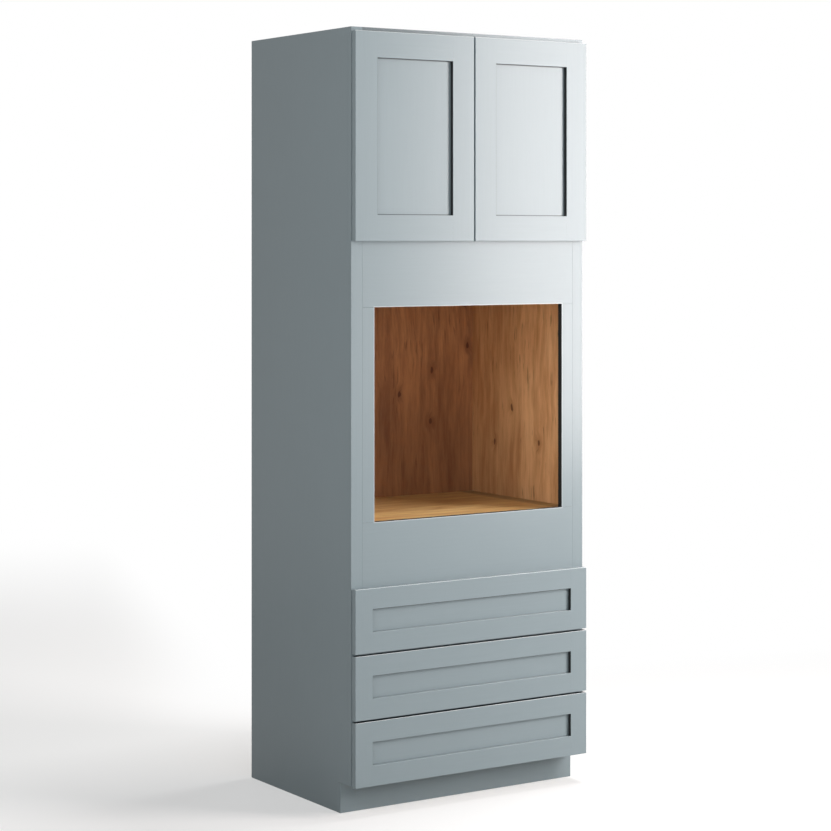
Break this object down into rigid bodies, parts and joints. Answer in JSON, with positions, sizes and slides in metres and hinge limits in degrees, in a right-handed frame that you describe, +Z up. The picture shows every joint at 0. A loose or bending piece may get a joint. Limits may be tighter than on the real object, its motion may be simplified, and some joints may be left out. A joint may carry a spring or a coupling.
{
  "type": "tall oven housing unit",
  "caption": "Tall painted face-frame cabinet for a built-in oven: shaker doors over a cupboard, an open oven bay lined in wood, and drawers on slides below.",
  "frame": {"origin": "on the floor, at the bottom centre of the bounding box, midway between the door faces and the back", "axes": "+X to the right seen from the front, +Y towards the back, +Z up"},
  "size_m": [0.8382, 0.612, 2.286],
  "materials": {
    "painted_wood": "satin blue-grey paint",
    "natural_wood": "clear satin over brown grain",
    "drawer_wood": "clear satin over pale grain",
    "steel": "zinc plated"
  },
  "bodies": {
    "cabinet": {"back_panel": "natural_wood", "top_panel": "natural_wood", "hanging_rail": "natural_wood", "cupboard_floor": "natural_wood", "oven_shelf": "natural_wood", "bottom_deck": "natural_wood", "toe_kick_board": "painted_wood", "cupboard_shelf": "natural_wood", "top_rail": "painted_wood", "header_rail": "painted_wood", "sill_rail": "painted_wood", "upper_drawer_rail": "painted_wood", "lower_drawer_rail": "painted_wood", "bottom_rail": "painted_wood", "left_side_panel": "painted_wood", "left_stile": "painted_wood", "left_opening_filler": "painted_wood", "right_side_panel": "painted_wood", "right_stile": "painted_wood", "right_opening_filler": "painted_wood", "shelf_pin_left_front": "steel", "shelf_pin_left_rear": "steel", "shelf_pin_right_front": "steel", "shelf_pin_right_rear": "steel", "left_upper_hinge_arm": "steel", "left_lower_hinge_arm": "steel", "right_upper_hinge_arm": "steel", "right_lower_hinge_arm": "steel", "top_left_slide_channel": "steel", "top_right_slide_channel": "steel", "middle_left_slide_channel": "steel", "middle_right_slide_channel": "steel", "bottom_left_slide_channel": "steel", "bottom_right_slide_channel": "steel"},
    "left_door": {"left_door_frame": "painted_wood", "left_door_panel": "painted_wood", "left_upper_hinge_cup": "steel", "left_lower_hinge_cup": "steel"},
    "right_door": {"right_door_frame": "painted_wood", "right_door_panel": "painted_wood", "right_upper_hinge_cup": "steel", "right_lower_hinge_cup": "steel"},
    "top_drawer": {"top_drawer_front_frame": "painted_wood", "top_drawer_front_panel": "painted_wood", "top_drawer_box": "drawer_wood", "top_drawer_bottom": "drawer_wood", "top_left_slide_runner": "steel", "top_right_slide_runner": "steel"},
    "middle_drawer": {"middle_drawer_front_frame": "painted_wood", "middle_drawer_front_panel": "painted_wood", "middle_drawer_box": "drawer_wood", "middle_drawer_bottom": "drawer_wood", "middle_left_slide_runner": "steel", "middle_right_slide_runner": "steel"},
    "bottom_drawer": {"bottom_drawer_front_frame": "painted_wood", "bottom_drawer_front_panel": "painted_wood", "bottom_drawer_box": "drawer_wood", "bottom_drawer_bottom": "drawer_wood", "bottom_left_slide_runner": "steel", "bottom_right_slide_runner": "steel"}
  },
  "joints": [
    {"name": "left_door_hinge", "type": "hinge", "parent": "cabinet", "child": "left_door", "pos_m": [-0.4101, -0.296, 1.9695], "axis": [0, 0, -1], "range_deg": [0, 105]},
    {"name": "right_door_hinge", "type": "hinge", "parent": "cabinet", "child": "right_door", "pos_m": [0.4101, -0.296, 1.9695], "axis": [0, 0, 1], "range_deg": [0, 105]},
    {"name": "top_drawer_slide", "type": "slide", "parent": "cabinet", "child": "top_drawer", "axis": [0, -1, 0], "range_m": [0, 0.38]},
    {"name": "middle_drawer_slide", "type": "slide", "parent": "cabinet", "child": "middle_drawer", "axis": [0, -1, 0], "range_m": [0, 0.38]},
    {"name": "bottom_drawer_slide", "type": "slide", "parent": "cabinet", "child": "bottom_drawer", "axis": [0, -1, 0], "range_m": [0, 0.38]}
  ]
}
